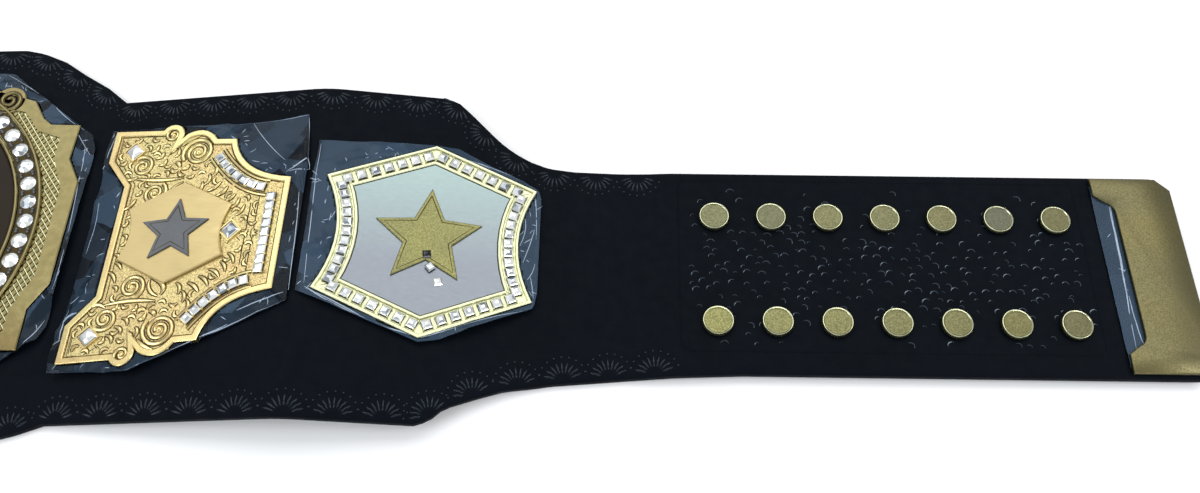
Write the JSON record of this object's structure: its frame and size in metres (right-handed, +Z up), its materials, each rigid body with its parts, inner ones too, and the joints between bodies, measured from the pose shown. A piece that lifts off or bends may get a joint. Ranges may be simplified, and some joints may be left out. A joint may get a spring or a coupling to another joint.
{
  "type": "championship title belt",
  "caption": "Wide leather title belt lying face up, with cast gold plates, cut stones, a dark central disc, press studs and chamfered tip plates.",
  "frame": {"origin": "under the middle of the main plate, on the surface that the belt lies on, which is the middle of the base of the bounding box", "axes": "+X along the belt towards the end with the stud caps in front, +Y across it towards the wearer's top edge, +Z up out of the plates' faces"},
  "size_m": [1.319, 0.2288, 0.0231],
  "materials": {
    "black_leather": "smooth pressed black leather with a soft sheen",
    "cast_gold": "gold plated cast zinc, polished with a slight grain",
    "dark_enamel": "dark brown enamel",
    "shield_gold": "satin orange gold plating",
    "satin_silver": "satin nickel plating",
    "cut_stone": "clear cut glass with a foiled back",
    "satin_brass": "satin brass plating with a fine grain",
    "clear_film": "thin clear protective film"
  },
  "bodies": {
    "root": {"film_inner_left": "clear_film", "film_inner_right": "clear_film", "film_main": "clear_film", "film_outer_left": "clear_film", "film_outer_right": "clear_film", "film_tip_left": "clear_film", "film_tip_right": "clear_film", "inner_plate_left": "cast_gold", "inner_plate_right": "cast_gold", "inner_shield_left": "shield_gold", "inner_shield_right": "shield_gold", "inner_star_left": "satin_silver", "inner_star_right": "satin_silver", "inner_stones_left": "cut_stone", "inner_stones_right": "cut_stone", "leather_strap": "black_leather", "main_disc": "dark_enamel", "main_plate": "cast_gold", "main_stone_ring": "cut_stone", "outer_frame_left": "cast_gold", "outer_frame_right": "cast_gold", "outer_panel_left": "satin_silver", "outer_panel_right": "satin_silver", "outer_star_left": "cast_gold", "outer_star_right": "cast_gold", "outer_stones_left": "cut_stone", "outer_stones_right": "cut_stone", "snap_left_lower_1": "satin_brass", "snap_left_lower_2": "satin_brass", "snap_left_lower_3": "satin_brass", "snap_left_lower_4": "satin_brass", "snap_left_lower_5": "satin_brass", "snap_left_lower_6": "satin_brass", "snap_left_lower_7": "satin_brass", "snap_left_upper_1": "satin_brass", "snap_left_upper_2": "satin_brass", "snap_left_upper_3": "satin_brass", "snap_left_upper_4": "satin_brass", "snap_left_upper_5": "satin_brass", "snap_left_upper_6": "satin_brass", "snap_left_upper_7": "satin_brass", "snap_right_lower_1": "satin_brass", "snap_right_lower_2": "satin_brass", "snap_right_lower_3": "satin_brass", "snap_right_lower_4": "satin_brass", "snap_right_lower_5": "satin_brass", "snap_right_lower_6": "satin_brass", "snap_right_lower_7": "satin_brass", "snap_right_upper_1": "satin_brass", "snap_right_upper_2": "satin_brass", "snap_right_upper_3": "satin_brass", "snap_right_upper_4": "satin_brass", "snap_right_upper_5": "satin_brass", "snap_right_upper_6": "satin_brass", "snap_right_upper_7": "satin_brass", "tip_plate_left": "satin_brass", "tip_plate_right": "satin_brass"}
  },
  "joints": []
}
